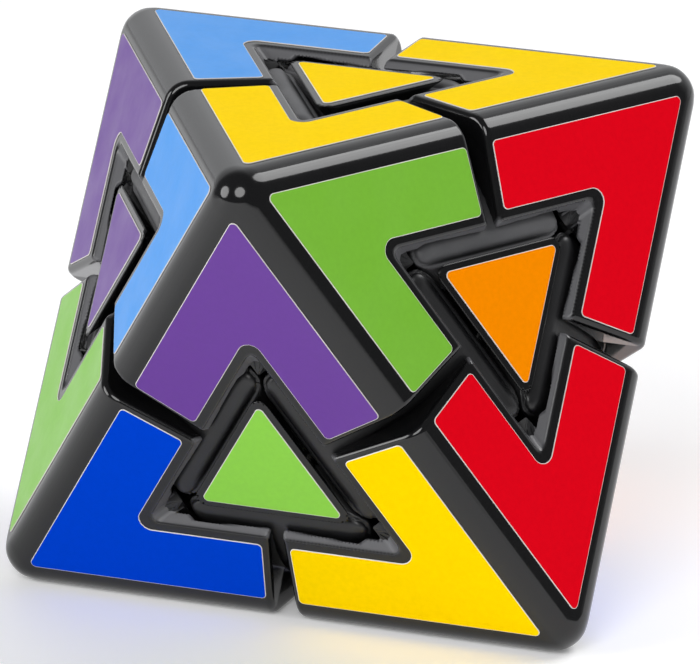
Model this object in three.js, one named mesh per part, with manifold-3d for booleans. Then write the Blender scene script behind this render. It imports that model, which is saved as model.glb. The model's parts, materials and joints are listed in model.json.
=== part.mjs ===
// An octahedral twisty puzzle that turns about its six corners.
//
// Eight triangular faces meet at six rounded corners. Each corner piece is a cap with four
// arms that run half way along the octahedron's edges, held by a hollow stem, a spring and
// a screw to one arm of a six-armed core. Twelve edge sliders lie under the seams between
// the caps, and eight centre tiles stand flush in the triangular windows of the faces. Feet
// on the sliders and tiles reach under their neighbours, which is what holds them in.
//
// The pieces are made in the mechanism's frame, with the corners on the axes and the core's
// middle at the origin. The last group lays the puzzle on one face: +Z is up, the origin is
// the middle of the bottom face, and the upper front corner points along -Y. Millimetres.

import * as THREE from "three";
import { ConvexGeometry } from "three/addons/geometries/ConvexGeometry.js";
import { mergeVertices } from "three/addons/utils/BufferGeometryUtils.js";
import Module from "manifold-3d";

const wasm = await Module();
wasm.setup();

// ---- Driving dimensions -------------------------------------------------------------

const EDGE = 70; // sharp octahedron edge, before rounding
const RIDGE_RADIUS = 3; // rounding of the twelve ridges and six corners
const ARM_HALF = 9.3; // an arm reaches this far to each side of its ridge
const SEAM_HALF = 0.75; // half the gap between two arm ends
const TILE_INSET = 11.6; // a tile's sides, measured along the corner axes
const TILE_SINK = 0.35; // a tile's top lies this far under the face
const TILE_CHAMFER = 1; // bevel round a tile's top
const SLIDER_HALF = 10.4; // an edge slider reaches this far to each side of its ridge
const SLIDER_START = 10.75; // and begins this far up the axes of its two corners
const SLIDER_DEPTH = 1.25; // its rails lie this far under the faces
const FOOT_HALF = 6.1; // the same two limits for the feet, inside the retaining sphere
const FOOT_START = 6.5;
const RETAINING_RADIUS = 22.65; // feet stay inside this sphere, bodies outside it
const CORE_CLEARANCE = 11.5; // feet stay outside this sphere
const NECK_HEIGHT = 2; // a slider's neck runs this far into its body
const RUNNING_GAP = 0.3; // clearance between pieces that slide on each other
const SWEEP_GAP = 0.1; // an arm's underside over the path of a tile's unbevelled corner

const HUB_RADIUS = 6;
const CORE_ARM_RADIUS = 4;
const CORE_ARM_END = 10.3;
const PILOT_RADIUS = 1.9; // hole for the screw in each arm of the core
const PILOT_END = 4.8;

const COLUMN_RADIUS = 5.6;
const COLUMN_START = 10.8;
const COLUMN_FLOOR = 12.8;
const FLANGE_RADIUS = 10.2;
const FLANGE_TOP = 22.6;
const FLANGE_SHOULDER = 25.6;
const STEM_BORE = 3.7;
const STEM_HOLE = 1.9;
const SPIGOT_RADIUS = 6.5; // the stem's upper end, inside the cap's socket
const SPIGOT_END = 36;
const SOCKET_END = 37.5;

const SCREW_RADIUS = 1.5;
const SCREW_START = 5.2;
const SCREW_HEAD_RADIUS = 2.9;
const SCREW_HEAD_START = 22.3;
const SCREW_HEAD_HEIGHT = 2.2;
const SCREW_SOCKET_RADIUS = 1.2;
const SCREW_SOCKET_DEPTH = 1.3;
const WASHER_RADIUS = 3.3;
const WASHER_THICKNESS = 0.7;
const WIRE_RADIUS = 0.35;
const SPRING_RADIUS = 2.75;
const SPRING_TURNS = 4;

const PLINTH_HALF = 10.4; // square plinth whose corners show in the notches between arms
const PLINTH_DEPTH = 1.2; // it lies this far under the faces

const ROUND_SEGMENTS = 36; // about a corner's axis, for the caps and sliders
const STEM_SEGMENTS = 18;
const SMALL_SEGMENTS = 12;
const BALL_DETAIL = 4;
const RIDGE_STEPS = 4;
const PROFILE_STEPS = 4;
const WIRE_SIDES = 3; // in half the wire's round section
const STEPS_PER_TURN = 8;

// ---- Sizes that follow --------------------------------------------------------------

const TIP = EDGE / Math.SQRT2; // centre to a sharp corner
const FACE_HEIGHT = TIP / Math.sqrt(3); // centre to a face
const TILE_LEVEL = TIP - TILE_SINK * Math.sqrt(3); // where a tile's top would meet an axis
const TILE_TIP = TILE_LEVEL - 2 * TILE_INSET; // a tile's corner, up the nearest corner's axis
const HEAD_START = TILE_TIP + 2 * RUNNING_GAP; // a cap is solid from here up
const BIG = 2 * EDGE;
const UP = new THREE.Vector3(0, 0, 1);

// How far from a corner's axis a tile's corner passes, at a height up that axis.
const tilePath = (height) => Math.hypot(TILE_INSET, TILE_LEVEL - height - TILE_INSET);

// ---- Solids -------------------------------------------------------------------------

// A three.js geometry as a manifold-3d solid, its corners merged.
function solidOf(geometry) {
  const bare = new THREE.BufferGeometry();
  bare.setAttribute("position", geometry.getAttribute("position"));
  if (geometry.index) bare.setIndex(geometry.index);
  const merged = mergeVertices(bare, 1e-4);
  return new wasm.Manifold(
    new wasm.Mesh({
      numProp: 3,
      vertProperties: new Float32Array(merged.attributes.position.array),
      triVerts: new Uint32Array(merged.index.array),
    }),
  );
}

// A solid as a three.js geometry.
function geometryOf(solid) {
  const mesh = solid.getMesh();
  const geometry = new THREE.BufferGeometry();
  geometry.setAttribute("position", new THREE.BufferAttribute(mesh.vertProperties, 3));
  geometry.setIndex(new THREE.BufferAttribute(mesh.triVerts, 1));
  geometry.computeVertexNormals();
  return geometry;
}

// A box from its lowest and highest corners.
function box(low, high) {
  const size = high.map((value, i) => value - low[i]);
  const middle = high.map((value, i) => (value + low[i]) / 2);
  return solidOf(new THREE.BoxGeometry(...size).translate(...middle));
}

// A solid turned about Z from a closed profile of [radius, height] points.
function turned(profile, segments) {
  const points = [...profile, profile[0]].map(([r, h]) => new THREE.Vector2(r, h));
  return solidOf(new THREE.LatheGeometry(points, segments).rotateX(Math.PI / 2));
}

const ball = (radius) => solidOf(new THREE.IcosahedronGeometry(radius, BALL_DETAIL));

// Everything on the inner side of a plane with this outward normal, this far out.
function behindPlane(normal, distance) {
  const slab = new THREE.BoxGeometry(BIG, BIG, BIG).translate(0, 0, distance - BIG / 2);
  const turn = new THREE.Quaternion().setFromUnitVectors(UP, normal.clone().normalize());
  return solidOf(slab.applyQuaternion(turn));
}

// A solid about Z, copied so that it stands about another axis.
function about(solid, axis) {
  const turn = new THREE.Quaternion().setFromUnitVectors(UP, axis);
  return solidOf(geometryOf(solid).applyQuaternion(turn));
}

// ---- Shared shapes ------------------------------------------------------------------

const SIGNS = [-1, 1];
const AXES = [0, 1, 2].flatMap((i) =>
  SIGNS.map((sign) => new THREE.Vector3().setComponent(i, sign)),
);

// The whole octahedron with round ridges: the hull of a small ball at each corner. The
// balls' points lie between the four face normals that meet there, so the faces stay flat.
function roundedOctahedron() {
  const reach = TIP - RIDGE_RADIUS * Math.sqrt(3);
  const points = [];
  for (const axis of AXES) {
    const side = new THREE.Vector3(axis.y, axis.z, axis.x);
    const other = new THREE.Vector3().crossVectors(axis, side);
    for (let i = -RIDGE_STEPS; i <= RIDGE_STEPS; i += 2) {
      for (let j = -RIDGE_STEPS; j <= RIDGE_STEPS; j += 2) {
        const direction = axis
          .clone()
          .addScaledVector(side, i / RIDGE_STEPS)
          .addScaledVector(other, j / RIDGE_STEPS)
          .normalize();
        points.push(direction.multiplyScalar(RIDGE_RADIUS).addScaledVector(axis, reach));
      }
    }
  }
  return solidOf(new ConvexGeometry(points));
}

// The space that tiles and sliders pass through when the layer about Z turns.
function sweep(gap, high) {
  const low = SLIDER_START - RUNNING_GAP;
  const profile = [[0, low]];
  for (let i = 0; i <= PROFILE_STEPS; i += 1) {
    const height = low + ((high - low) * i) / PROFILE_STEPS;
    profile.push([tilePath(height) + gap, height]);
  }
  profile.push([0, high]);
  return turned(profile, ROUND_SEGMENTS);
}

const octahedron = roundedOctahedron();
const layerSweep = sweep(SWEEP_GAP, HEAD_START);
const sliderLimit = sweep(SWEEP_GAP - RUNNING_GAP, HEAD_START - RUNNING_GAP);
const insideRetainer = ball(RETAINING_RADIUS - RUNNING_GAP / 2);
const retainer = ball(RETAINING_RADIUS + RUNNING_GAP / 2);
const coreSpace = ball(CORE_CLEARANCE);

// ---- Corner pieces, about +Z --------------------------------------------------------

// The square plinth under a cap's head, cut to lie a little under the four faces.
function plinth() {
  const half = PLINTH_HALF;
  let block = box([-half, -half, HEAD_START], [half, half, BIG]);
  for (const x of SIGNS) {
    for (const y of SIGNS) {
      const face = new THREE.Vector3(x, y, 1);
      block = block.intersect(behindPlane(face, FACE_HEIGHT - PLINTH_DEPTH));
    }
  }
  return block;
}

// The visible cap: four arms down the ridges, a notch between each two, a socket below.
function capGeometry() {
  const across = ARM_HALF;
  const arms = box([-across, -BIG, 0], [across, BIG, BIG]).add(
    box([-BIG, -across, 0], [BIG, across, BIG]),
  );
  let cap = octahedron.intersect(arms);
  for (const axis of AXES.filter((a) => a.z === 0)) {
    const seam = axis.clone().sub(UP);
    cap = cap.intersect(behindPlane(seam, -SEAM_HALF));
    cap = cap.subtract(about(layerSweep, axis));
  }
  cap = cap.subtract(layerSweep).intersect(box([-BIG, -BIG, SLIDER_START], [BIG, BIG, BIG]));
  cap = cap.add(plinth());
  const socket = SPIGOT_RADIUS + RUNNING_GAP;
  return geometryOf(
    cap.subtract(
      turned([[0, 0], [socket, 0], [socket, SOCKET_END], [0, SOCKET_END]], ROUND_SEGMENTS),
    ),
  );
}

// The stem: a column on the core's arm, a flange over the sliders' feet and a spigot. The
// flange's underside follows the retaining sphere.
function stemGeometry() {
  const sphere = RETAINING_RADIUS + RUNNING_GAP;
  const underside = [COLUMN_RADIUS, (COLUMN_RADIUS + FLANGE_RADIUS) / 2, FLANGE_RADIUS].map(
    (radius) => [radius, Math.sqrt(sphere ** 2 - radius ** 2)],
  );
  return geometryOf(
    turned(
      [
        [STEM_HOLE, COLUMN_START],
        [COLUMN_RADIUS, COLUMN_START],
        ...underside,
        [FLANGE_RADIUS, FLANGE_TOP],
        [SPIGOT_RADIUS, FLANGE_SHOULDER],
        [SPIGOT_RADIUS, SPIGOT_END],
        [STEM_BORE, SPIGOT_END],
        [STEM_BORE, COLUMN_FLOOR],
        [STEM_HOLE, COLUMN_FLOOR],
      ],
      STEM_SEGMENTS,
    ),
  );
}

function screwGeometry() {
  const top = SCREW_HEAD_START + SCREW_HEAD_HEIGHT;
  return geometryOf(
    turned(
      [
        [0, SCREW_START],
        [SCREW_RADIUS * 0.6, SCREW_START],
        [SCREW_RADIUS, SCREW_START + 1],
        [SCREW_RADIUS, SCREW_HEAD_START],
        [SCREW_HEAD_RADIUS, SCREW_HEAD_START],
        [SCREW_HEAD_RADIUS, top - 0.6],
        [SCREW_HEAD_RADIUS * 0.7, top],
        [SCREW_SOCKET_RADIUS, top],
        [SCREW_SOCKET_RADIUS, top - SCREW_SOCKET_DEPTH],
        [0, top - SCREW_SOCKET_DEPTH],
      ],
      SMALL_SEGMENTS,
    ),
  );
}

function washerGeometry() {
  const top = SCREW_HEAD_START - RUNNING_GAP;
  const bottom = top - WASHER_THICKNESS;
  const hole = SCREW_RADIUS + RUNNING_GAP;
  return geometryOf(
    turned(
      [[hole, bottom], [WASHER_RADIUS, bottom], [WASHER_RADIUS, top], [hole, top]],
      SMALL_SEGMENTS,
    ),
  );
}

// The centre line of a round spring about Z.
class Helix extends THREE.Curve {
  constructor(radius, low, high, turns) {
    super();
    Object.assign(this, { radius, low, high, turns });
  }

  getPoint(t, target = new THREE.Vector3()) {
    const angle = t * this.turns * 2 * Math.PI;
    const height = this.low + (this.high - this.low) * t;
    return target.set(this.radius * Math.cos(angle), this.radius * Math.sin(angle), height);
  }
}

function springGeometry() {
  const low = COLUMN_FLOOR + RUNNING_GAP + WIRE_RADIUS;
  const high = SCREW_HEAD_START - WASHER_THICKNESS - 2 * RUNNING_GAP - WIRE_RADIUS;
  const section = new THREE.Shape();
  section.absarc(0, 0, WIRE_RADIUS, 0, 2 * Math.PI);
  return new THREE.ExtrudeGeometry(section, {
    curveSegments: WIRE_SIDES,
    steps: SPRING_TURNS * STEPS_PER_TURN,
    extrudePath: new Helix(SPRING_RADIUS, low, high, SPRING_TURNS),
  });
}

// ---- Edge slider, under the ridge between +Y and +Z ---------------------------------

function sliderGeometry() {
  const start = SLIDER_START;
  const yAxis = new THREE.Vector3(0, 1, 0);
  let body = box([-SLIDER_HALF, start, start], [SLIDER_HALF, BIG, BIG]);
  for (const sign of SIGNS) {
    const face = new THREE.Vector3(sign, 1, 1);
    body = body.intersect(behindPlane(face, FACE_HEIGHT - SLIDER_DEPTH));
  }
  body = body.intersect(sliderLimit).intersect(about(sliderLimit, yAxis)).subtract(retainer);
  const foot = box([-FOOT_HALF, FOOT_START, FOOT_START], [FOOT_HALF, BIG, BIG])
    .intersect(insideRetainer)
    .subtract(coreSpace);
  const neck = box([-FOOT_HALF, start, start], [FOOT_HALF, BIG, BIG]).intersect(
    ball(RETAINING_RADIUS + NECK_HEIGHT),
  );
  return geometryOf(body.add(foot).add(neck));
}

// ---- Centre tile, in the octant +X +Y +Z --------------------------------------------

function tileGeometry() {
  const face = new THREE.Vector3(1, 1, 1);
  let tile = box([TILE_INSET, TILE_INSET, TILE_INSET], [BIG, BIG, BIG]).intersect(
    behindPlane(face, FACE_HEIGHT - TILE_SINK),
  );
  for (const axis of AXES.filter((a) => a.dot(face) > 0)) {
    // The bevel's plane lies half way between the tile's top and its side.
    const bevel = face.clone().normalize().sub(axis).normalize();
    const far = (TILE_LEVEL - TILE_INSET) / 2;
    const corner = new THREE.Vector3(far, far, far).addScaledVector(axis, TILE_INSET - far);
    tile = tile.intersect(behindPlane(bevel, corner.dot(bevel) - TILE_CHAMFER / 2));
  }
  const foot = box([FOOT_START, FOOT_START, FOOT_START], [BIG, BIG, BIG])
    .intersect(insideRetainer)
    .subtract(coreSpace);
  return geometryOf(tile.add(foot));
}

// ---- Core ---------------------------------------------------------------------------

function coreGeometry() {
  const arm = turned(
    [[0, 0], [CORE_ARM_RADIUS, 0], [CORE_ARM_RADIUS, CORE_ARM_END], [0, CORE_ARM_END]],
    SMALL_SEGMENTS,
  );
  const pilot = turned(
    [[0, PILOT_END], [PILOT_RADIUS, PILOT_END], [PILOT_RADIUS, BIG], [0, BIG]],
    SMALL_SEGMENTS,
  );
  let core = solidOf(new THREE.IcosahedronGeometry(HUB_RADIUS, 2));
  for (const axis of AXES) core = core.add(about(arm, axis));
  for (const axis of AXES) core = core.subtract(about(pilot, axis));
  return geometryOf(core);
}

// ---- Materials and assembly ---------------------------------------------------------

const plastic = (color, roughness) =>
  new THREE.MeshStandardMaterial({ color, roughness, metalness: 0 });
const shellBlack = plastic(0x17171a, 0.35);
const innerBlack = plastic(0x1c1c1f, 0.5);
const coreWhite = plastic(0xd8d6cf, 0.55);
const steel = new THREE.MeshStandardMaterial({
  color: 0xb8bbbf,
  roughness: 0.3,
  metalness: 1,
});

// The corners, named for where they are when the puzzle lies on one face.
const CORNERS = {
  top_front: new THREE.Vector3(0, 0, 1),
  top_left: new THREE.Vector3(0, 1, 0),
  top_right: new THREE.Vector3(1, 0, 0),
  base_right: new THREE.Vector3(0, -1, 0),
  base_left: new THREE.Vector3(-1, 0, 0),
  base_rear: new THREE.Vector3(0, 0, -1),
};
const cornerNames = Object.keys(CORNERS);
const nameBySum = (sum) =>
  cornerNames.filter((name) => CORNERS[name].dot(sum) > 0.5).join("_");

const mechanism = new THREE.Group();

function place(name, geometry, material, quaternion) {
  const mesh = new THREE.Mesh(geometry, material);
  mesh.name = name;
  mesh.quaternion.copy(quaternion);
  mechanism.add(mesh);
}

place("core", coreGeometry(), coreWhite, new THREE.Quaternion());

const cornerPieces = [
  ["cap", capGeometry(), shellBlack],
  ["stem", stemGeometry(), innerBlack],
  ["spring", springGeometry(), steel],
  ["washer", washerGeometry(), steel],
  ["screw", screwGeometry(), steel],
];
for (const name of cornerNames) {
  const turn = new THREE.Quaternion().setFromUnitVectors(UP, CORNERS[name]);
  for (const [kind, geometry, material] of cornerPieces) {
    place(`${kind}_${name}`, geometry, material, turn);
  }
}

const slider = sliderGeometry();
AXES.forEach((first, i) => {
  for (const second of AXES.slice(i + 1).filter((axis) => axis.dot(first) === 0)) {
    const across = new THREE.Vector3().crossVectors(first, second);
    const basis = new THREE.Matrix4().makeBasis(across, first, second);
    const turn = new THREE.Quaternion().setFromRotationMatrix(basis);
    const sum = first.clone().add(second);
    place(`slider_${nameBySum(sum)}`, slider, innerBlack, turn);
  }
});

// A tile is named for its face: the corners round it, from the top of the list above.
const TILES = {
  top: [1, 1, 1],
  upper_right: [1, -1, 1],
  upper_left: [-1, 1, 1],
  front: [-1, -1, 1],
  rear: [1, 1, -1],
  lower_right: [1, -1, -1],
  lower_left: [-1, 1, -1],
  bottom: [-1, -1, -1],
};
const tile = tileGeometry();
for (const [name, [x, y, z]] of Object.entries(TILES)) {
  const along = new THREE.Vector3(x, 0, 0);
  const side = new THREE.Vector3(0, y, 0);
  const upright = new THREE.Vector3(0, 0, z);
  const pair = x * y * z > 0 ? [along, side] : [side, along];
  const basis = new THREE.Matrix4().makeBasis(...pair, upright);
  place(`tile_${name}`, tile, shellBlack, new THREE.Quaternion().setFromRotationMatrix(basis));
}

// Lay the puzzle on the face between the three base corners.
const upward = new THREE.Vector3(1, 1, 1).normalize();
const rearward = new THREE.Vector3(1, 1, -2).normalize();
const rightward = new THREE.Vector3().crossVectors(rearward, upward);
const lying = new THREE.Matrix4().makeBasis(rightward, rearward, upward).transpose();
mechanism.quaternion.setFromRotationMatrix(lying);
mechanism.position.set(0, 0, FACE_HEIGHT);

const puzzle = new THREE.Group();
puzzle.add(mechanism);

export default puzzle;
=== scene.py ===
"""The looks of the octahedral twisty puzzle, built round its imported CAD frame."""

import itertools
import json
import math

import bmesh
import bpy
import numpy as np
from mathutils import Matrix, Vector

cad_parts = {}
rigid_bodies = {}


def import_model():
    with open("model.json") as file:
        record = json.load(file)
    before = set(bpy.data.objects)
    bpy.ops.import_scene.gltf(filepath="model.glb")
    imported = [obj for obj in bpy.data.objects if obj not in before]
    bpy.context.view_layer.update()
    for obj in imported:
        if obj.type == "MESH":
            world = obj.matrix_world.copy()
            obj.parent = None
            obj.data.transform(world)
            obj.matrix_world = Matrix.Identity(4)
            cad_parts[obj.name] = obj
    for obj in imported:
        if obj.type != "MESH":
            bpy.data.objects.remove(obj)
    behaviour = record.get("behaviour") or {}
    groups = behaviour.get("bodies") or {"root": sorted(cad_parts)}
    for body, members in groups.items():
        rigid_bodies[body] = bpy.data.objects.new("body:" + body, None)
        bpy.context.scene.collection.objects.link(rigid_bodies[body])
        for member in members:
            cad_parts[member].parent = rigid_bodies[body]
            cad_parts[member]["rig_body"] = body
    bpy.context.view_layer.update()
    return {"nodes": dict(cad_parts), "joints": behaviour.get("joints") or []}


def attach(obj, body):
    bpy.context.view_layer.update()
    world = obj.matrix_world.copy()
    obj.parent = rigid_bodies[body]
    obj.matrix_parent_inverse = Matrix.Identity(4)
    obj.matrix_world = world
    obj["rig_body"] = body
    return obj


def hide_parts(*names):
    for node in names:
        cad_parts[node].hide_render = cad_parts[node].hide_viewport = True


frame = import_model()

# ---- Dimensions, in millimetres -------------------------------------------------------
# The same driving sizes as the CAD, so that every piece fits its neighbours.

MM = 0.001
TIP = 70 / math.sqrt(2)  # centre to a sharp corner
RIDGE_RADIUS = 3.0
ARM_HALF = 9.3
SEAM_HALF = 0.75
SEAM_FLARE = 0.6  # an arm's end draws back this much more at its ridge
TILE_INSET = 11.6
SLIDER_HALF = 10.6
SLIDER_START = 10.75
SLIDER_DEPTH = 1.0
RAIL_STEP = 0.45  # a rail's lower body stands out this far
RAIL_STEP_DEPTH = 1.0
RAIL_TILT = 0.7  # a rail leans toward its ridge: 1 would be level with the face
RAIL_CREST = 3.0  # and is rounded over its middle
FOOT_HALF = 6.1
FOOT_START = 6.5
RETAINING_RADIUS = 22.65
CORE_CLEARANCE = 11.5
NECK_HEIGHT = 2.0
RUNNING_GAP = 0.3
SLIDER_GAP = 0.2  # a slider under the path of a tile's corner
SWEEP_GAP = -0.3  # less than in the CAD, because the tiles' corners are rounded here
LIP = 0.88  # an arm is at least this thick
TILE_SINK = 0.35
TILE_LEVEL = TIP - TILE_SINK * math.sqrt(3)
HEAD_START = TILE_LEVEL - 2 * TILE_INSET + 2 * RUNNING_GAP
SOCKET_RADIUS = 6.8
SOCKET_END = 37.5
BLOCK_HALF = 10.4  # the small blocks that show in the notches
BLOCK_INNER = 8.4
BLOCK_DEPTH = 1.3
RIB_OFFSET = 0.38  # two ribs on each block
RIB_HALF_WIDTH = 0.11
RIB_HEIGHT = 0.16
SATIN_SHEEN_START = 0.08  # a window's walls turn from gloss to a rougher satin below this depth, and are painted a lighter grey there as painted sheen
SATIN_SHEEN_BAND = 0.25  # over this distance

# Roundings that the CAD leaves sharp.
WINDOW_FILLET = 0.22
END_FILLET = 0.75
CORNER_REACH = 48.5  # a ball of this radius takes the point off each corner
CORNER_BLEND = 3.0
NOTCH_FILLET = 1.1
BLOCK_BEVEL = 0.1
BEVEL_SEGMENTS = 2
UNDERSIDE_FILLET = 0.2
TILE_TOP_FILLET = 0.2
TILE_CORNER_FILLET = 1.6
RAIL_FILLET = 0.13
RAIL_END_FILLET = 1.2
FOOT_FILLET = 0.5

# Stickers: their outlines, as shares of TIP along the corners' axes.
STICKER_OUTER = 0.0432
STICKER_INNER = 0.1715
STICKER_END = 0.0587
STICKER_END_SLOPE = -0.0727
TILE_STICKER = 0.2535

# And their corners and section, in millimetres.
CORNER_ROUND = 0.6
TILE_STICKER_ROUND = 0.55
NOTCH_ROUND = 1.4
STICKER_THICKNESS = 0.1
STICKER_LIFT = 0.01
STICKER_RIM = 0.06  # the pale cut edge seen round the colour
STICKER_SIDE = 0.7  # its side is upright up to this share of the thickness
STICKER_BEVEL = 0.03
STICKER_PRINT = 0.012  # the printed film stands this much above the rim
STICKER_PRINT_EDGE = 0.02  # and rises to it over this width

# How finely the shapes are drawn.
CAP_STEP = 0.3  # spacing of the grids
SLIDER_STEP = 0.26
TILE_STEP = 0.25
GRID_MARGIN = 1.0
SWEEP_STEEPNESS = 1.2  # a swept space's field is divided by this, to be nearly a distance
SLOPE_REACH = 0.02
LEAST_SQUARED_SLOPE = 0.05
PROJECTIONS = 4  # steps that bring a point onto the surface
FLAT_ANGLE = math.radians(0.3)
QUAD_CORNERS = 4  # a face with more corners than this is cut into triangles
ARC_STEPS = 8

# ---- Looks ----------------------------------------------------------------------------
# Lengths are in metres here, apart from the camera's lens and sensor.

# Noise textures: how fine they are, to the metre, and how rough.
PLASTIC_TINT = {"scale": 90, "detail": 3}
PLASTIC_WEAR = {"scale": 160, "detail": 4, "roughness": 0.6}
PLASTIC_GRAIN = {"scale": 1400, "detail": 2}
VINYL_MOTTLE = {"scale": 1600, "detail": 3, "roughness": 0.6}
VINYL_FILM = {"scale": 220, "detail": 3}
VINYL_GRAIN = {"scale": 2600, "detail": 2}
TURNING_MARKS = {"scale": 900, "detail": 3, "roughness": 0.6, "stretch": (1, 1, 8)}
FLOOR_MOTTLE = {"scale": 20, "detail": 3}
NOISE_RANGE = (0.3, 0.7)  # the values that a noise texture mostly takes

PLASTIC_GRAIN_HEIGHT = 0.00003
SATIN_ROUGHNESS = 0.42
VINYL_SHADES = (0.965, 1.02)  # darkest and lightest, as shares of the colour
VINYL_ROUGHNESS = (0.3, 0.4)
VINYL_GRAIN_STRENGTH = 0.12
VINYL_GRAIN_HEIGHT = 0.00002
VINYL_GLOSS = {"yellow": 0.004, "orange": 0.004, "red": 0.004, "blue": 0.004, "sky": 0.15}
OTHER_VINYL_GLOSS = 0.42
STEEL_DARK = (0.5, 0.5, 0.53)
STEEL_LIGHT = (0.68, 0.68, 0.69)
STEEL_ROUGHNESS = (0.24, 0.42)
TURNING_STRENGTH = 0.3
TURNING_HEIGHT = 0.00002

FLOOR_LOW = (0.92, 0.92, 0.925)
FLOOR_HIGH = (0.94, 0.94, 0.945)
FLOOR_ROUGHNESS = 0.6
FLOOR_GLOSS = 0.3
FLOOR_GLOW = 0.16  # the paper is lit a little from below
FLOOR_HALF = 3.0
FLOOR_DROP = 1.2 * STICKER_THICKNESS * MM  # clear of the stickers that the puzzle lies on

WORLD_COLOUR = (0.97, 0.98, 1.0)
WORLD_FRONT = 0.16  # the room's brightness before the puzzle
WORLD_REAR = 0.95  # and behind it
WORLD_TURN = (0.15, 0.8)  # it changes between these shares of the way back
BOX_DISTANCE = 1.0
SOFT_BOXES = (  # name, direction from the puzzle, diameter, and power in watts
    ("left_box", (-0.742, -0.546, 0.377), 0.56, 4.5),
    ("front_box", (0.049, -0.801, 0.587), 0.56, 4.5),
    ("high_box", (0.5, 0.42, 0.76), 0.62, 5.0),
)

CAMERA_AZIMUTH = math.radians(19.05)
CAMERA_ELEVATION = math.radians(18.57)
CAMERA_ROLL = math.radians(0.9)
CAMERA_DISTANCE = 0.804
CAMERA_AIM = Vector((0.0002, -0.0003, 0.0275))
CAMERA_LENS = 367.3
CAMERA_SENSOR = 36
CAMERA_CLIP = (0.05, 20)


# ---- Frame ----------------------------------------------------------------------------

JOINTS = {j["name"].removeprefix("turn_"): j for j in frame["joints"]}
CENTRE = Vector(JOINTS["top_front"]["pos_m"])
CORNERS = {name: Vector(j["axis"]).normalized() for name, j in JOINTS.items()}

# Each face's tile, with the three corners round it.
FACES = {
    "top": ("top_front", "top_left", "top_right"),
    "upper_right": ("top_front", "top_right", "base_right"),
    "upper_left": ("top_front", "top_left", "base_left"),
    "front": ("top_front", "base_right", "base_left"),
    "rear": ("top_left", "top_right", "base_rear"),
    "lower_right": ("top_right", "base_right", "base_rear"),
    "lower_left": ("top_left", "base_left", "base_rear"),
    "bottom": ("base_right", "base_left", "base_rear"),
}

TOP_SHEEN_CORNERS = {"top_front", "top_left", "top_right"}  # the rails between them, round the top face, are painted greyer as painted sheen

# The colour of each cap's sticker on each face, and of each tile's sticker.
CAP_COLOURS = {
    "top_front": {"top": "yellow", "upper_right": "green", "front": "purple", "upper_left": "sky"},
    "top_left": {"top": "sky", "upper_left": "purple", "lower_left": "white", "rear": "orange"},
    "top_right": {"top": "yellow", "upper_right": "red", "lower_right": "orange", "rear": "sky"},
    "base_right": {"upper_right": "red", "front": "yellow", "bottom": "green", "lower_right": "blue"},
    "base_left": {"front": "blue", "upper_left": "green", "lower_left": "purple", "bottom": "white"},
    "base_rear": {"lower_right": "orange", "bottom": "red", "lower_left": "blue", "rear": "white"},
}
TILE_COLOURS = {
    "top": "yellow",
    "upper_right": "orange",
    "upper_left": "purple",
    "front": "lime",
    "rear": "red",
    "lower_right": "sky",
    "lower_left": "white",
    "bottom": "blue",
}


def to_frame(x_axis, y_axis, z_axis):
    """Turns millimetres on three of the puzzle's axes into the row frame's metres."""
    turn = Matrix((x_axis, y_axis, z_axis)).transposed().to_4x4()
    return Matrix.Translation(CENTRE) @ turn @ Matrix.Scale(MM, 4)


def body_of(node):
    """The body that a CAD node moves with."""
    return frame["nodes"][node]["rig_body"]


def other_axes(corner, corners):
    """The axes of a face's two other corners, right-handed with this corner's as third."""
    first, second = [CORNERS[c] for c in corners if c != corner]
    if first.cross(second).dot(CORNERS[corner]) < 0:
        first, second = second, first
    return first, second


# ---- Shapes as distance fields --------------------------------------------------------
# Each field takes points in millimetres and is negative inside the piece.


def octahedron(points, reach):
    """Exact distance to an octahedron whose corners are this far out."""
    low, mid, high = np.moveaxis(np.sort(np.abs(points), axis=-1), -1, 0)
    over = low + mid + high - reach
    along = np.clip((high - mid + reach) / 2, 0, reach)
    edge = np.sqrt(low**2 + (mid - reach + along) ** 2 + (high - along) ** 2)
    return np.where(3 * low < over, edge, over / math.sqrt(3))


def meet(radius, *distances):
    """The space inside all of these, its outer edges rounded."""
    over = [np.maximum(d + radius, 0) for d in distances]
    inner = np.minimum(np.maximum.reduce(distances) + radius, 0)
    return inner + np.sqrt(sum(d**2 for d in over)) - radius


def join(radius, *distances):
    """The space inside any of these, its inner corners rounded."""
    return -meet(radius, *[-d for d in distances])


def tile_path(height):
    """How far from a corner's axis a tile's sharp corner passes, at this height up it."""
    return np.hypot(TILE_INSET, TILE_LEVEL - height - TILE_INSET)


def within_sweep(across, height, gap):
    """The space that tiles and sliders pass through as a layer turns, below a cap's head."""
    passed = (across - tile_path(height) - gap) / SWEEP_STEEPNESS
    return np.maximum(passed, height - HEAD_START)


def outer_shape(points):
    """The whole puzzle's outside: round ridges, and corners a little rounder still."""
    ridged = octahedron(points, TIP - RIDGE_RADIUS * math.sqrt(3)) - RIDGE_RADIUS
    return meet(CORNER_BLEND, ridged, np.linalg.norm(points, axis=-1) - CORNER_REACH)


def window_walls(ax, ay):
    """How far outside a cap's crossed arms, their inner corners rounded."""
    return join(NOTCH_FILLET, ax - ARM_HALF, ay - ARM_HALF)


def cap_block(outer, ax, ay, z):
    """A cap as it looks from outside: cut at the seams and at the windows' walls."""
    ends = []
    for along, across in ((ax, ay), (ay, ax)):
        flare = SEAM_FLARE * (1 - np.clip(across / ARM_HALF, 0, 1))
        ends.append((along - z) / math.sqrt(2) + SEAM_HALF + flare)
    block = meet(END_FILLET, outer, *ends)
    return meet(WINDOW_FILLET, block, window_walls(ax, ay))


def swept_below(ax, ay, z):
    """The spaces under a cap that its neighbours pass through, one for each axis."""
    spaces = [within_sweep(np.hypot(ax, ay), z, SWEEP_GAP)]
    for along, across in ((ax, ay), (ay, ax)):
        reach = within_sweep(np.hypot(across, z), along, SWEEP_GAP)
        spaces.append(np.maximum(reach, SLIDER_START - RUNNING_GAP - along))
    return spaces


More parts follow.
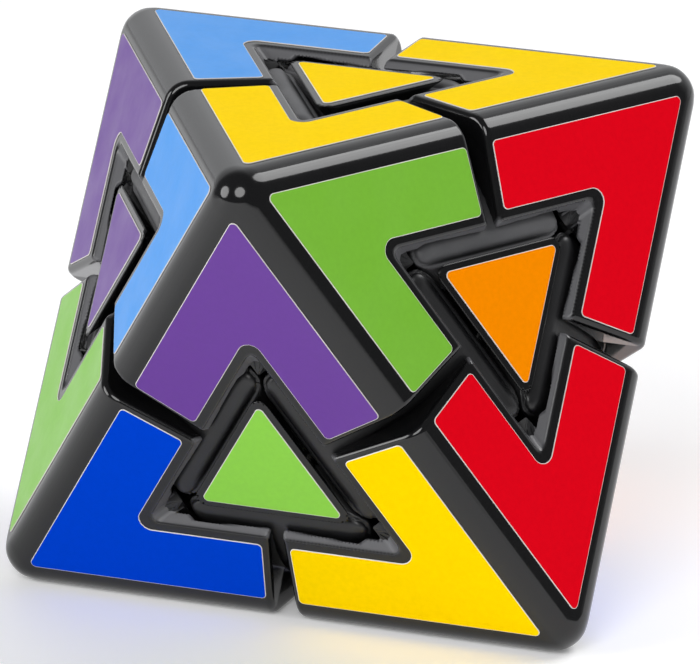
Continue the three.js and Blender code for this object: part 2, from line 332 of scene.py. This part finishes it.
def cap_field(points):
    """A corner cap about +Z, with arms down the ridges toward +X, -X, +Y and -Y."""
    x, y, z = np.moveaxis(points, -1, 0)
    ax, ay = np.abs(x), np.abs(y)
    outer = outer_shape(points)
    block = cap_block(outer, ax, ay, z)
    skin = meet(UNDERSIDE_FILLET, block, -outer - LIP)
    room = [-space for space in swept_below(ax, ay, z)]
    body = meet(UNDERSIDE_FILLET, block, SLIDER_START - z, *room)
    socket = np.maximum(np.hypot(x, y) - SOCKET_RADIUS, z - SOCKET_END)
    return np.maximum(np.minimum(body, skin), -socket)


def rail_part(x, y, z):
    """The part of a slider that shows: a leaning top on a wider body."""
    ax = np.abs(x)
    crest = np.hypot(x, RAIL_CREST) - math.hypot(SLIDER_HALF, RAIL_CREST)
    lean = RAIL_TILT * crest + SLIDER_HALF
    face = (lean + y + z - TIP + SLIDER_DEPTH * math.sqrt(3)) / math.sqrt(2 + RAIL_TILT**2)
    limits = [
        (np.hypot(x, other) - tile_path(along) + SLIDER_GAP) / SWEEP_STEEPNESS
        for along, other in ((y, z), (z, y))
    ]
    plan = meet(RAIL_END_FILLET, ax - SLIDER_HALF, SLIDER_START - y)
    plan = meet(RAIL_END_FILLET, plan, SLIDER_START - z)
    heads = [h - HEAD_START + RUNNING_GAP for h in (y, z)]
    top = meet(RAIL_END_FILLET, plan, *limits, *heads)
    top = meet(RAIL_FILLET, face, top)
    step = meet(RAIL_END_FILLET, plan - RAIL_STEP, *limits, *heads)
    step = meet(RAIL_FILLET, face + RAIL_STEP_DEPTH, step)
    return np.minimum(top, step)


def foot_field(radius, *sides):
    """A foot within these sides, held between the core's ball and the stems' skirts."""
    below_skirts = radius - RETAINING_RADIUS + RUNNING_GAP / 2
    return meet(FOOT_FILLET, *sides, below_skirts, CORE_CLEARANCE - radius)


def slider_field(points):
    """An edge slider under the ridge between +Y and +Z."""
    x, y, z = np.moveaxis(points, -1, 0)
    width = np.abs(x) - FOOT_HALF
    radius = np.linalg.norm(points, axis=-1)
    rail = np.maximum(rail_part(x, y, z), RETAINING_RADIUS + RUNNING_GAP / 2 - radius)
    foot = foot_field(radius, width, FOOT_START - y, FOOT_START - z)
    neck_sides = [width, SLIDER_START - y, SLIDER_START - z]
    neck_ends = [radius - RETAINING_RADIUS - NECK_HEIGHT, CORE_CLEARANCE - radius]
    neck = np.maximum.reduce([*neck_sides, *neck_ends])
    return np.minimum.reduce([rail, foot, neck])


def tile_field(points):
    """A centre tile, in the octant where all three coordinates are positive."""
    radius = np.linalg.norm(points, axis=-1)
    face = (points.sum(-1) - TILE_LEVEL) / math.sqrt(3)
    sides = [TILE_INSET - points[..., i] for i in range(3)]
    top = meet(TILE_TOP_FILLET, face, meet(TILE_CORNER_FILLET, *sides))
    foot = foot_field(radius, *[FOOT_START - points[..., i] for i in range(3)])
    return np.minimum(top, foot)


# ---- From a field to a mesh -----------------------------------------------------------


def slope(field, points):
    """The field's gradient, by small differences."""
    parts = []
    for i in range(3):
        offset = np.zeros(3)
        offset[i] = SLOPE_REACH
        rise = field(points + offset) - field(points - offset)
        parts.append(rise / (2 * SLOPE_REACH))
    return np.stack(parts, -1)


def crossing_sums(values, grid):
    """For each cell of the grid, the sum and count of the crossings on its edges."""
    cells = tuple(n - 1 for n in values.shape)
    total = np.zeros((*cells, 3))
    count = np.zeros(cells)
    for axis in range(3):
        first = [slice(None)] * 3
        second = [slice(None)] * 3
        first[axis] = slice(0, -1)
        second[axis] = slice(1, None)
        a, b = values[tuple(first)], values[tuple(second)]
        crossed = (a < 0) != (b < 0)
        share = np.where(crossed, a / np.where(crossed, a - b, 1), 0)[..., None]
        point = grid[tuple(first)] * (1 - share) + grid[tuple(second)] * share
        point = np.where(crossed[..., None], point, 0)
        others = [i for i in range(3) if i != axis]
        for u in (0, 1):
            for v in (0, 1):
                part = [slice(None)] * 3
                part[others[0]] = slice(u, u + cells[others[0]])
                part[others[1]] = slice(v, v + cells[others[1]])
                total += point[tuple(part)]
                count += crossed[tuple(part)]
    return total, count


def net_quads(values, index):
    """The quads of the net: one round each grid edge that crosses the surface."""
    quads = []
    for axis in range(3):
        u, v = (axis + 1) % 3, (axis + 2) % 3
        inner = [slice(1, -1)] * 3
        inner[axis] = slice(0, -1)
        outer = list(inner)
        outer[axis] = slice(1, None)
        a, b = values[tuple(inner)], values[tuple(outer)]
        places = np.argwhere((a < 0) != (b < 0))
        leaving = (a < 0)[tuple(places.T)]
        places[:, u] += 1
        places[:, v] += 1
        corners = []
        for du, dv in ((-1, -1), (0, -1), (0, 0), (-1, 0)):
            cell = places.copy()
            cell[:, u] += du
            cell[:, v] += dv
            corners.append(index[tuple(cell.T)])
        quad = np.stack(corners, -1)
        quad[~leaving] = quad[~leaving][:, ::-1]
        quads.append(quad)
    return np.concatenate(quads)


def merge_flats(mesh):
    """Joins the small quads of each flat area, and marks what they become as flat."""
    build = bmesh.new()
    build.from_mesh(mesh)
    bmesh.ops.dissolve_limit(
        build, angle_limit=FLAT_ANGLE, verts=build.verts, edges=build.edges
    )
    joined = [f for f in build.faces if len(f.verts) > QUAD_CORNERS]
    for face in joined:
        face.smooth = False
    bmesh.ops.triangulate(build, faces=joined)
    build.to_mesh(mesh)
    build.free()


def set_normals(mesh, field):
    """Normals: a flat area's own, and elsewhere the field's slope at each point."""
    points = np.array([v.co for v in mesh.vertices])
    slopes = slope(field, points)
    slopes /= np.linalg.norm(slopes, axis=-1, keepdims=True)
    normals = []
    for polygon in mesh.polygons:
        for vertex in polygon.vertices:
            normals.append(slopes[vertex] if polygon.use_smooth else polygon.normal)
    mesh.normals_split_custom_set([tuple(n) for n in normals])


def field_mesh(name, field, low, high, step):
    """A mesh of the field's zero surface: a surface net drawn onto it, with its normals."""
    low, high = np.array(low, float), np.array(high, float)
    axes = [np.arange(low[i], high[i] + step, step) for i in range(3)]
    grid = np.stack(np.meshgrid(*axes, indexing="ij"), -1)
    values = field(grid)
    total, count = crossing_sums(values, grid)
    used = count > 0
    index = np.full(count.shape, -1)
    index[used] = np.arange(used.sum())
    points = total[used] / count[used][:, None]
    for _ in range(PROJECTIONS):
        gradient = slope(field, points)
        square = np.maximum((gradient**2).sum(-1, keepdims=True), LEAST_SQUARED_SLOPE)
        move = -field(points)[:, None] * gradient / square
        points += np.clip(move, -step / 2, step / 2)
    quads = net_quads(values, index)
    mesh = bpy.data.meshes.new(name)
    mesh.from_pydata(points.tolist(), [], quads.tolist())
    mesh.update()
    mesh.shade_smooth()
    merge_flats(mesh)
    set_normals(mesh, field)
    return mesh


def place(name, mesh, matrix, body, materials, replaces=None):
    """One of the puzzle's pieces: a copy of a mesh, put in place and riding on a body."""
    data = mesh.copy()
    data.name = name
    data.transform(matrix)
    if matrix.determinant() < 0:
        data.flip_normals()
    for material in materials:
        data.materials.append(material)
    data.update()
    piece = bpy.data.objects.new(name, data)
    bpy.context.scene.collection.objects.link(piece)
    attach(piece, body)
    if replaces:
        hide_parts(replaces)


# ---- Materials ------------------------------------------------------------------------


def new_material(name, colour, roughness):
    """A Principled material and its shader."""
    material = bpy.data.materials.new(name)
    material.use_nodes = True
    shader = material.node_tree.nodes["Principled BSDF"]
    shader.inputs["Base Color"].default_value = (*colour, 1)
    shader.inputs["Roughness"].default_value = roughness
    return material, shader


def noise(tree, scale, detail, roughness=0.5, stretch=(1, 1, 1)):
    """A noise texture in the object's own metres."""
    nodes, links = tree.nodes, tree.links
    coordinates = nodes.new("ShaderNodeTexCoord")
    mapping = nodes.new("ShaderNodeMapping")
    mapping.inputs["Scale"].default_value = stretch
    links.new(coordinates.outputs["Object"], mapping.inputs["Vector"])
    texture = nodes.new("ShaderNodeTexNoise")
    texture.inputs["Scale"].default_value = scale
    texture.inputs["Detail"].default_value = detail
    texture.inputs["Roughness"].default_value = roughness
    links.new(mapping.outputs["Vector"], texture.inputs["Vector"])
    return texture.outputs["Fac"]


def ranged(tree, value, low, high):
    """A noise texture's value, stretched from its usual range to low..high."""
    node = tree.nodes.new("ShaderNodeMapRange")
    node.inputs["From Min"].default_value = NOISE_RANGE[0]
    node.inputs["From Max"].default_value = NOISE_RANGE[1]
    node.inputs["To Min"].default_value = low
    node.inputs["To Max"].default_value = high
    tree.links.new(value, node.inputs["Value"])
    return node.outputs["Result"]


def tinted(tree, shader, factor, colour_a, colour_b):
    """Base colour that wanders between two colours."""
    mix = tree.nodes.new("ShaderNodeMix")
    mix.data_type = "RGBA"
    mix.inputs["A"].default_value = (*colour_a, 1)
    mix.inputs["B"].default_value = (*colour_b, 1)
    tree.links.new(factor, mix.inputs["Factor"])
    tree.links.new(mix.outputs["Result"], shader.inputs["Base Color"])


def bumped(tree, shader, height, strength, distance):
    """A surface that rises and falls with a texture."""
    bump = tree.nodes.new("ShaderNodeBump")
    bump.inputs["Strength"].default_value = strength
    bump.inputs["Distance"].default_value = distance
    tree.links.new(height, bump.inputs["Height"])
    tree.links.new(bump.outputs["Normal"], shader.inputs["Normal"])


def satin_with_painted_sheen(tree, shader):
    """Where the mesh is marked, a rougher satin finish takes over, with a lighter grey that is
    painted sheen.
    """
    mark = tree.nodes.new("ShaderNodeAttribute")
    mark.attribute_name = "satin_and_sheen"
    for socket, data_type, satin_and_sheen in (
        ("Base Color", "RGBA", (*SATIN_SHEEN_COLOUR, 1)),
        ("Roughness", "FLOAT", SATIN_ROUGHNESS),
    ):
        mix = tree.nodes.new("ShaderNodeMix")
        mix.data_type = data_type
        mix.inputs["B"].default_value = satin_and_sheen
        tree.links.new(mark.outputs["Fac"], mix.inputs["Factor"])
        tree.links.new(shader.inputs[socket].links[0].from_socket, mix.inputs["A"])
        tree.links.new(mix.outputs["Result"], shader.inputs[socket])


def moulded_plastic(name, colour, lighter, roughness, grain):
    """Moulded plastic: a fine orange-peel grain, and gloss that varies with handling."""
    material, shader = new_material(name, colour, roughness[0])
    tree = material.node_tree
    tint = ranged(tree, noise(tree, **PLASTIC_TINT), 0, 1)
    tinted(tree, shader, tint, colour, lighter)
    wear = ranged(tree, noise(tree, **PLASTIC_WEAR), *roughness)
    tree.links.new(wear, shader.inputs["Roughness"])
    bumped(tree, shader, noise(tree, **PLASTIC_GRAIN), grain, PLASTIC_GRAIN_HEIGHT)
    return material


def vinyl(name, colour, gloss):
    """Printed vinyl: even colour with a faint mottle, and a fine grain under a satin film."""
    material, shader = new_material(name, colour, VINYL_ROUGHNESS[0])
    tree = material.node_tree
    darker, lighter = [[min(1, share * c) for c in colour] for share in VINYL_SHADES]
    mottle = ranged(tree, noise(tree, **VINYL_MOTTLE), 0, 1)
    tinted(tree, shader, mottle, darker, lighter)
    film = ranged(tree, noise(tree, **VINYL_FILM), *VINYL_ROUGHNESS)
    tree.links.new(film, shader.inputs["Roughness"])
    grain = noise(tree, **VINYL_GRAIN)
    bumped(tree, shader, grain, VINYL_GRAIN_STRENGTH, VINYL_GRAIN_HEIGHT)
    shader.inputs["Specular IOR Level"].default_value = gloss
    return material


def linear(red, green, blue):
    """A screen colour, 0 to 255, as linear light, by the sRGB standard's curve."""
    shares = [c / 255 for c in (red, green, blue)]
    return [s / 12.92 if s <= 0.04045 else ((s + 0.055) / 1.055) ** 2.4 for s in shares]


VINYL_COLOURS = {
    "yellow": linear(247, 208, 0),
    "orange": linear(250, 140, 0),
    "red": linear(224, 6, 26),
    "green": linear(118, 184, 48),
    "lime": linear(128, 196, 56),
    "blue": linear(0, 62, 196),
    "sky": linear(62, 148, 228),
    "purple": linear(92, 42, 140),
    "white": linear(232, 232, 228),
}
VINYLS = {
    name: vinyl(f"vinyl_{name}", colour, VINYL_GLOSS.get(name, OTHER_VINYL_GLOSS))
    for name, colour in VINYL_COLOURS.items()
}
# Painted sheen: the light grey that the window walls show where they catch the light.
SATIN_SHEEN_COLOUR = linear(88, 88, 91)
SHELL = moulded_plastic(
    "black_shell", linear(12, 12, 13), linear(17, 17, 18), roughness=(0.08, 0.14), grain=0.1
)
# The window walls take the rougher satin and the painted sheen.
satin_with_painted_sheen(SHELL.node_tree, SHELL.node_tree.nodes["Principled BSDF"])
INNER = moulded_plastic(
    "black_inner", linear(20, 20, 21), linear(30, 30, 32), roughness=(0.34, 0.44), grain=0.4
)
# A greyer copy of the inner plastic: painted sheen for the rails that face up.
PAINTED_SHEEN_INNER = moulded_plastic(
    "black_painted_sheen", linear(70, 70, 72), linear(92, 92, 94), roughness=(0.46, 0.58), grain=0.6
)
CORE = moulded_plastic(
    "pale_core", linear(214, 212, 204), linear(224, 222, 215), roughness=(0.45, 0.6), grain=0.4
)
CUT_EDGE = moulded_plastic(
    "sticker_cut_edge",
    linear(206, 202, 198),
    linear(226, 222, 218),
    roughness=(0.4, 0.55),
    grain=0.2,
)


def plated_steel():
    """Zinc-plated steel, with fine turning marks."""
    material, shader = new_material("plated_steel", STEEL_DARK, STEEL_ROUGHNESS[0])
    tree = material.node_tree
    marks = noise(tree, **TURNING_MARKS)
    tinted(tree, shader, ranged(tree, marks, 0, 1), STEEL_DARK, STEEL_LIGHT)
    tree.links.new(ranged(tree, marks, *STEEL_ROUGHNESS), shader.inputs["Roughness"])
    bumped(tree, shader, marks, TURNING_STRENGTH, TURNING_HEIGHT)
    shader.inputs["Metallic"].default_value = 1
    return material


STEEL = plated_steel()


# ---- Caps, sliders and tiles ----------------------------------------------------------


def upright_basis(axis):
    """Three of the puzzle's axes, right-handed, the last of them this one."""
    square = [c for c in CORNERS.values() if round(c.dot(axis)) == 0]
    first = square[0]
    return first, axis.cross(first), axis


def mark_satin_and_sheen(mesh):
    """Marks a cap's window walls, 0 to 1, for the shell's material to read, where it turns to satin
    and painted sheen.
    """
    points = np.array([v.co for v in mesh.vertices])
    depth = -outer_shape(points)
    ax, ay = np.abs(points[:, 0]), np.abs(points[:, 1])
    wall = np.abs(window_walls(ax, ay))
    share = np.clip((depth - SATIN_SHEEN_START) / SATIN_SHEEN_BAND, 0, 1)
    share *= np.clip(1 - (wall - SATIN_SHEEN_BAND) / SATIN_SHEEN_BAND, 0, 1)
    mesh.attributes.new("satin_and_sheen", "FLOAT", "POINT").data.foreach_set("value", share)


def build_caps():
    """The six corner caps."""
    half = TIP / 2 + GRID_MARGIN
    low = SLIDER_START - GRID_MARGIN
    mesh = field_mesh("cap", cap_field, (-half, -half, low), (half, half, TIP), CAP_STEP)
    mark_satin_and_sheen(mesh)
    for name, axis in CORNERS.items():
        matrix = to_frame(*upright_basis(axis))
        node = f"cap_{name}"
        place(f"shell_{name}", mesh, matrix, body_of(node), [SHELL], node)


def build_sliders():
    """The twelve edge sliders, whose upper parts are the rails round the windows."""
    half = SLIDER_HALF + GRID_MARGIN
    low = FOOT_START - GRID_MARGIN
    top = HEAD_START + 2 * GRID_MARGIN
    mesh = field_mesh("slider", slider_field, (-half, low, low), (half, top, top), SLIDER_STEP)
    for first, second in itertools.combinations(CORNERS, 2):
        node = f"slider_{first}_{second}"
        if node not in frame["nodes"]:  # opposite corners
            continue
        y_axis, z_axis = CORNERS[first], CORNERS[second]
        matrix = to_frame(y_axis.cross(z_axis), y_axis, z_axis)
        # The rails round the top face get the painted sheen.
        finish = PAINTED_SHEEN_INNER if {first, second} <= TOP_SHEEN_CORNERS else INNER
        place(f"rail_{first}_{second}", mesh, matrix, body_of(node), [finish], node)


def add_prism(build, plan, level, floor):
    """An upright prism, its top level with the face, where coordinates add up to level."""
    top = [build.verts.new((x, y, level - x - y)) for x, y in plan]
    base = [build.verts.new((x, y, floor)) for x, y in plan]
    build.faces.new(top)
    build.faces.new(base[::-1])
    for i in range(len(plan)):
        j = (i + 1) % len(plan)
        build.faces.new((base[i], base[j], top[j], top[i]))


def rib_plan(offset, low, end):
    """A rib's outline: a strip out along the block's diagonal, this far to one side of it."""
    near, far = offset - RIB_HALF_WIDTH, offset + RIB_HALF_WIDTH
    return [
        (low + near, low - near),
        (min(end, end + near), min(end, end - near)),
        (min(end, end + far), min(end, end - far)),
        (low + far, low - far),
    ]


def block_mesh():
    """A notch's block, in the octant where all three coordinates are positive."""
    level = TIP - BLOCK_DEPTH * math.sqrt(3)
    floor = HEAD_START - RUNNING_GAP / 2
    low, high = BLOCK_INNER, BLOCK_HALF
    build = bmesh.new()
    add_prism(build, [(low, low), (high, low), (high, high), (low, high)], level, floor)
    edges = build.edges[:]
    bmesh.ops.bevel(
        build, geom=edges, offset=BLOCK_BEVEL, segments=BEVEL_SEGMENTS, affect="EDGES"
    )
    for offset in (-RIB_OFFSET, RIB_OFFSET):
        plan = rib_plan(offset, low, high - 2 * BLOCK_BEVEL)
        add_prism(build, plan, level + RIB_HEIGHT, floor + BLOCK_BEVEL)
    bmesh.ops.recalc_face_normals(build, faces=build.faces)
    mesh = bpy.data.meshes.new("block")
    build.to_mesh(mesh)
    build.free()
    return mesh


def build_blocks():
    """The small ribbed blocks, one in each notch of each cap."""
    mesh = block_mesh()
    for face, corners in FACES.items():
        for corner in corners:
            matrix = to_frame(*other_axes(corner, corners), CORNERS[corner])
            body = body_of(f"cap_{corner}")
            place(f"block_{corner}_{face}", mesh, matrix, body, [INNER])


def build_tiles():
    """The eight centre tiles."""
    low = FOOT_START - GRID_MARGIN
    high = TIP - 2 * TILE_INSET + GRID_MARGIN
    mesh = field_mesh("tile", tile_field, (low,) * 3, (high,) * 3, TILE_STEP)
    for face, corners in FACES.items():
        axes = [CORNERS[c] for c in corners]
        if axes[0].cross(axes[1]).dot(axes[2]) < 0:
            axes.reverse()
        node = f"tile_{face}"
        matrix = to_frame(*axes)
        place(f"centre_{face}", mesh, matrix, body_of(node), [SHELL], node)


# ---- Stickers -------------------------------------------------------------------------


def rounded_outline(points, radii):
    """A 2D outline with each corner replaced by an arc of its own radius."""
    outline = []
    count = len(points)
    for i, (point, radius) in enumerate(zip(points, radii)):
        back = (points[i - 1] - point).normalized()
        ahead = (points[(i + 1) % count] - point).normalized()
        half = math.acos(max(-1, min(1, back.dot(ahead)))) / 2
        reach = radius / math.tan(half)
        centre = point + (back + ahead).normalized() * (radius / math.sin(half))
        start, end = point + back * reach - centre, point + ahead * reach - centre
        for step in range(ARC_STEPS + 1):
            mixed = start.lerp(end, step / ARC_STEPS).normalized()
            outline.append(centre + mixed * radius)
    return outline


def inset_outline(outline, amount):
    """The outline moved inward, where inward is to the left of its direction."""
    moved = []
    count = len(outline)
    for i, point in enumerate(outline):
        before = (point - outline[i - 1]).normalized()
        after = (outline[(i + 1) % count] - point).normalized()
        along = (before + after).normalized()
        moved.append(point + Vector((-along.y, along.x)) * amount)
    return moved


def sticker_mesh(name, outline):
    """A thin sheet: its back, sides and rim have the second material, its face the first."""
    rings = [  # how far in, and how high
        (0, STICKER_LIFT),
        (0, STICKER_THICKNESS * STICKER_SIDE),
        (STICKER_BEVEL, STICKER_THICKNESS),
        (STICKER_RIM, STICKER_THICKNESS),
        (STICKER_RIM + STICKER_PRINT_EDGE, STICKER_THICKNESS + STICKER_PRINT),
    ]
    build = bmesh.new()
    loops = []
    for inset, height in rings:
        ring = inset_outline(outline, inset)
        loops.append([build.verts.new((p.x, p.y, height)) for p in ring])
    count = len(outline)
    for lower, upper in zip(loops, loops[1:]):
        for i in range(count):
            j = (i + 1) % count
            face = build.faces.new((lower[i], lower[j], upper[j], upper[i]))
            face.material_index = 1
    build.faces.new(loops[-1])
    bottom = build.faces.new(list(reversed(loops[0])))
    bottom.material_index = 1
    build.normal_update()
    sheets = [f for f in build.faces if len(f.verts) > QUAD_CORNERS]
    bmesh.ops.triangulate(build, faces=sheets, ngon_method="EAR_CLIP")
    bmesh.ops.recalc_face_normals(build, faces=build.faces)
    mesh = bpy.data.meshes.new(name)
    build.to_mesh(mesh)
    build.free()
    return mesh


def face_frame(corner, left, right, sink=0):
    """A face's plane, sunk this far: its middle, two directions and its outward normal."""
    normal = (corner + left + right).normalized()
    middle = normal * (TIP / math.sqrt(3) - sink)
    up = (corner - normal * corner.dot(normal)).normalized()
    across = up.cross(normal)
    return middle, across, up, normal


def flat_point(shares, axes, plane):
    """A point on a face, from its shares of TIP along three axes, in the face's plane."""
    middle, across, up, _ = plane
    point = sum((axis * share * TIP for axis, share in zip(axes, shares)), Vector())
    return Vector(((point - middle).dot(across), (point - middle).dot(up)))


def anticlockwise(points):
    """Whether an outline's points go round to the left."""
    area = sum(
        points[i - 1].x * points[i].y - points[i].x * points[i - 1].y
        for i in range(len(points))
    )
    return area > 0


def place_sticker(name, outline, radii, plane, body, colour):
    """A sticker with this outline, its corners rounded by these radii."""
    middle, across, up, normal = plane
    if not anticlockwise(outline):
        outline, radii = outline[::-1], radii[::-1]
    mesh = sticker_mesh(name, rounded_outline(outline, radii))
    turn = Matrix((across, up, normal)).transposed().to_4x4()
    matrix = Matrix.Translation(CENTRE + middle * MM) @ turn @ Matrix.Scale(MM, 4)
    place(name, mesh, matrix, body, [VINYLS[colour], CUT_EDGE])


def arrow_shares():
    """Corners of a cap's sticker, as shares along its own axis and its two neighbours'."""
    outer, inner = STICKER_OUTER, STICKER_INNER

    def end(inset):
        gap = STICKER_END + STICKER_END_SLOPE * inset
        return (1 - inset + gap) / 2, (1 - inset - gap) / 2

    own_outer, far_outer = end(outer)
    own_inner, far_inner = end(inner)
    return [
        (1 - 2 * outer, outer, outer),
        (own_outer, far_outer, outer),
        (own_inner, far_inner, inner),
        (1 - 2 * inner, inner, inner),
        (own_inner, inner, far_inner),
        (own_outer, outer, far_outer),
    ]


def build_cap_sticker(corner, face, corners):
    """A cap's arrow-shaped sticker on one face."""
    axes = (CORNERS[corner], *other_axes(corner, corners))
    plane = face_frame(*axes)
    outline = [flat_point(s, axes, plane) for s in arrow_shares()]
    radii = [CORNER_ROUND] * 3 + [NOTCH_ROUND] + [CORNER_ROUND] * 2
    body = body_of(f"cap_{corner}")
    colour = CAP_COLOURS[corner][face]
    place_sticker(f"sticker_{corner}_{face}", outline, radii, plane, body, colour)


def build_tile_sticker(face, corners):
    """A tile's triangular sticker."""
    axes = [CORNERS[c] for c in corners]
    plane = face_frame(*axes, TILE_SINK)
    far, near = 1 - 2 * TILE_STICKER, TILE_STICKER
    tips = [(far, near, near), (near, far, near), (near, near, far)]
    outline = [flat_point(s, axes, plane) for s in tips]
    radii = [TILE_STICKER_ROUND] * 3
    body = body_of(f"tile_{face}")
    place_sticker(f"sticker_centre_{face}", outline, radii, plane, body, TILE_COLOURS[face])


def build_stickers():
    """Three stickers on the caps and one on the tile, for each face."""
    for face, corners in FACES.items():
        for corner in corners:
            build_cap_sticker(corner, face, corners)
        build_tile_sticker(face, corners)


# ---- Hidden CAD pieces that stay ------------------------------------------------------


def finish_cad_nodes():
    """Materials for the CAD nodes that no piece here replaces."""
    kinds = {"core": CORE, "stem": INNER, "spring": STEEL, "washer": STEEL, "screw": STEEL}
    for name, node in frame["nodes"].items():
        material = kinds.get(name.split("_")[0])
        if material:
            node.data.materials.clear()
            node.data.materials.append(material)


# ---- Floor, light and camera ----------------------------------------------------------


def floor_paper():
    """Pale matt paper, hardly mottled."""
    material, shader = new_material("floor_paper", FLOOR_LOW, FLOOR_ROUGHNESS)
    tree = material.node_tree
    mottle = ranged(tree, noise(tree, **FLOOR_MOTTLE), 0, 1)
    tinted(tree, shader, mottle, FLOOR_LOW, FLOOR_HIGH)
    shader.inputs["Specular IOR Level"].default_value = FLOOR_GLOSS
    shader.inputs["Emission Color"].default_value = (1, 1, 1, 1)
    shader.inputs["Emission Strength"].default_value = FLOOR_GLOW
    return material


def build_floor():
    """A wide sheet of paper under the puzzle."""
    mesh = bpy.data.meshes.new("floor")
    far = FLOOR_HALF
    corners = [(-far, -far), (far, -far), (far, far), (-far, far)]
    mesh.from_pydata([(x, y, -FLOOR_DROP) for x, y in corners], [], [(0, 1, 2, 3)])
    mesh.materials.append(floor_paper())
    floor = bpy.data.objects.new("floor", mesh)
    bpy.context.scene.collection.objects.link(floor)


def build_soft_boxes():
    """Round soft boxes that face the puzzle."""
    for name, direction, size, power in SOFT_BOXES:
        light = bpy.data.lights.new(name, "AREA")
        light.shape = "DISK"
        light.size = size
        light.energy = power
        outward = Vector(direction).normalized()
        lamp = bpy.data.objects.new(name, light)
        lamp.location = CENTRE + outward * BOX_DISTANCE
        lamp.rotation_euler = (-outward).to_track_quat("-Z", "Y").to_euler()
        bpy.context.scene.collection.objects.link(lamp)


def build_room():
    """A white room behind the puzzle, and a dim one before it."""
    world = bpy.data.worlds.new("studio")
    bpy.context.scene.world = world
    world.use_nodes = True
    tree = world.node_tree
    background = tree.nodes["Background"]
    coordinates = tree.nodes.new("ShaderNodeTexCoord")
    split = tree.nodes.new("ShaderNodeSeparateXYZ")
    tree.links.new(coordinates.outputs["Generated"], split.inputs["Vector"])
    ramp = tree.nodes.new("ShaderNodeMapRange")
    ramp.interpolation_type = "SMOOTHSTEP"
    ramp.inputs["From Min"].default_value = WORLD_TURN[0]
    ramp.inputs["From Max"].default_value = WORLD_TURN[1]
    ramp.inputs["To Min"].default_value = WORLD_FRONT
    ramp.inputs["To Max"].default_value = WORLD_REAR
    tree.links.new(split.outputs["Y"], ramp.inputs["Value"])
    tree.links.new(ramp.outputs["Result"], background.inputs["Strength"])
    background.inputs["Color"].default_value = (*WORLD_COLOUR, 1)


def build_camera():
    """A long lens, a little rolled, that looks down at the puzzle from its front right."""
    camera_data = bpy.data.cameras.new("camera")
    camera_data.lens = CAMERA_LENS
    camera_data.sensor_width = CAMERA_SENSOR
    camera_data.clip_start, camera_data.clip_end = CAMERA_CLIP
    az, el = CAMERA_AZIMUTH, CAMERA_ELEVATION
    away = Vector((math.sin(az) * math.cos(el), -math.cos(az) * math.cos(el), math.sin(el)))
    level = Vector((math.cos(az), math.sin(az), 0))
    right = level * math.cos(CAMERA_ROLL) + away.cross(level) * math.sin(CAMERA_ROLL)
    turn = Matrix((right, away.cross(right), away)).transposed().to_4x4()
    camera = bpy.data.objects.new("camera", camera_data)
    camera.matrix_world = Matrix.Translation(CAMERA_AIM + away * CAMERA_DISTANCE) @ turn
    bpy.context.scene.collection.objects.link(camera)
    bpy.context.scene.camera = camera


# ---- Everything -----------------------------------------------------------------------

bpy.context.scene.view_settings.view_transform = "Standard"
build_camera()
build_caps()
build_sliders()
build_tiles()
build_blocks()
build_stickers()
finish_cad_nodes()
build_floor()
build_room()
build_soft_boxes()
